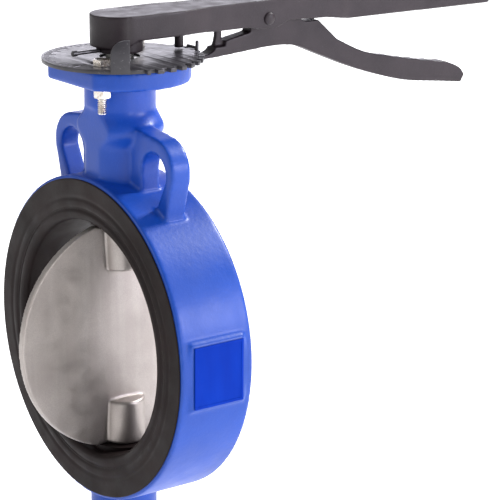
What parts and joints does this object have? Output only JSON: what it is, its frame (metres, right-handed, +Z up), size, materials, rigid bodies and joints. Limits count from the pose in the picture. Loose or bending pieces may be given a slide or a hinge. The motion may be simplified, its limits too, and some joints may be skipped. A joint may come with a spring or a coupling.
{
  "type": "butterfly valve",
  "caption": "Wafer butterfly valve that shuts a pipe by turning a disc a quarter turn with a notched hand lever and squeeze trigger.",
  "frame": {"origin": "centre of the disc, on the pipe axis and the stem axis, midway between the two rubber faces", "axes": "+Y along the pipe axis, away from the side the open lever leaves free; +Z up the stem to the lever; +X completes the right-handed frame. The open lever points along +Y."},
  "size_m": [0.2165, 0.3928, 0.3466],
  "materials": {
    "blue_epoxy": "glossy epoxy coat over cast iron",
    "black_rubber": "moulded, satin",
    "blasted_stainless": "cast stainless steel, bead blasted",
    "turned_steel": "turned",
    "zinc_steel": "zinc plated",
    "black_plate": "black gloss coat on steel plate",
    "dark_casting": "dark satin coat on cast iron",
    "bushing_polymer": "plain",
    "label_blue": "matt, blank"
  },
  "bodies": {
    "body": {"valve_body": "blue_epoxy", "seat_liner": "black_rubber", "upper_bushing": "bushing_polymer", "middle_bushing": "bushing_polymer", "lower_bushing": "bushing_polymer", "stem_seal_1": "black_rubber", "stem_seal_2": "black_rubber", "bottom_gasket": "black_rubber", "bottom_plug": "zinc_steel", "identification_plate": "label_blue", "notch_plate": "black_plate", "plate_bolt_1": "zinc_steel", "plate_bolt_2": "zinc_steel", "plate_nut_1": "zinc_steel", "plate_nut_2": "zinc_steel"},
    "stem_and_lever": {"disc": "blasted_stainless", "upper_stem": "turned_steel", "lower_stem": "turned_steel", "stem_retaining_ring": "turned_steel", "lever": "dark_casting", "lever_set_screw": "turned_steel", "position_pointer": "black_plate", "trigger_pivot_pin": "dark_casting", "pivot_pin_clip": "turned_steel", "trigger_spring": "turned_steel"},
    "trigger": {"trigger": "dark_casting"}
  },
  "joints": [
    {"name": "stem_turn", "type": "hinge", "parent": "body", "child": "stem_and_lever", "pos_m": [0, 0, 0], "axis": [0, 0, 1], "range_deg": [-90, 0]},
    {"name": "trigger_squeeze", "type": "hinge", "parent": "stem_and_lever", "child": "trigger", "pos_m": [0, 0.108, 0.1992], "axis": [1, 0, 0], "range_deg": [0, 8], "stiffness_Nm_per_rad": 4, "springref_deg": -28.65, "deforming": ["trigger_spring"]}
  ]
}
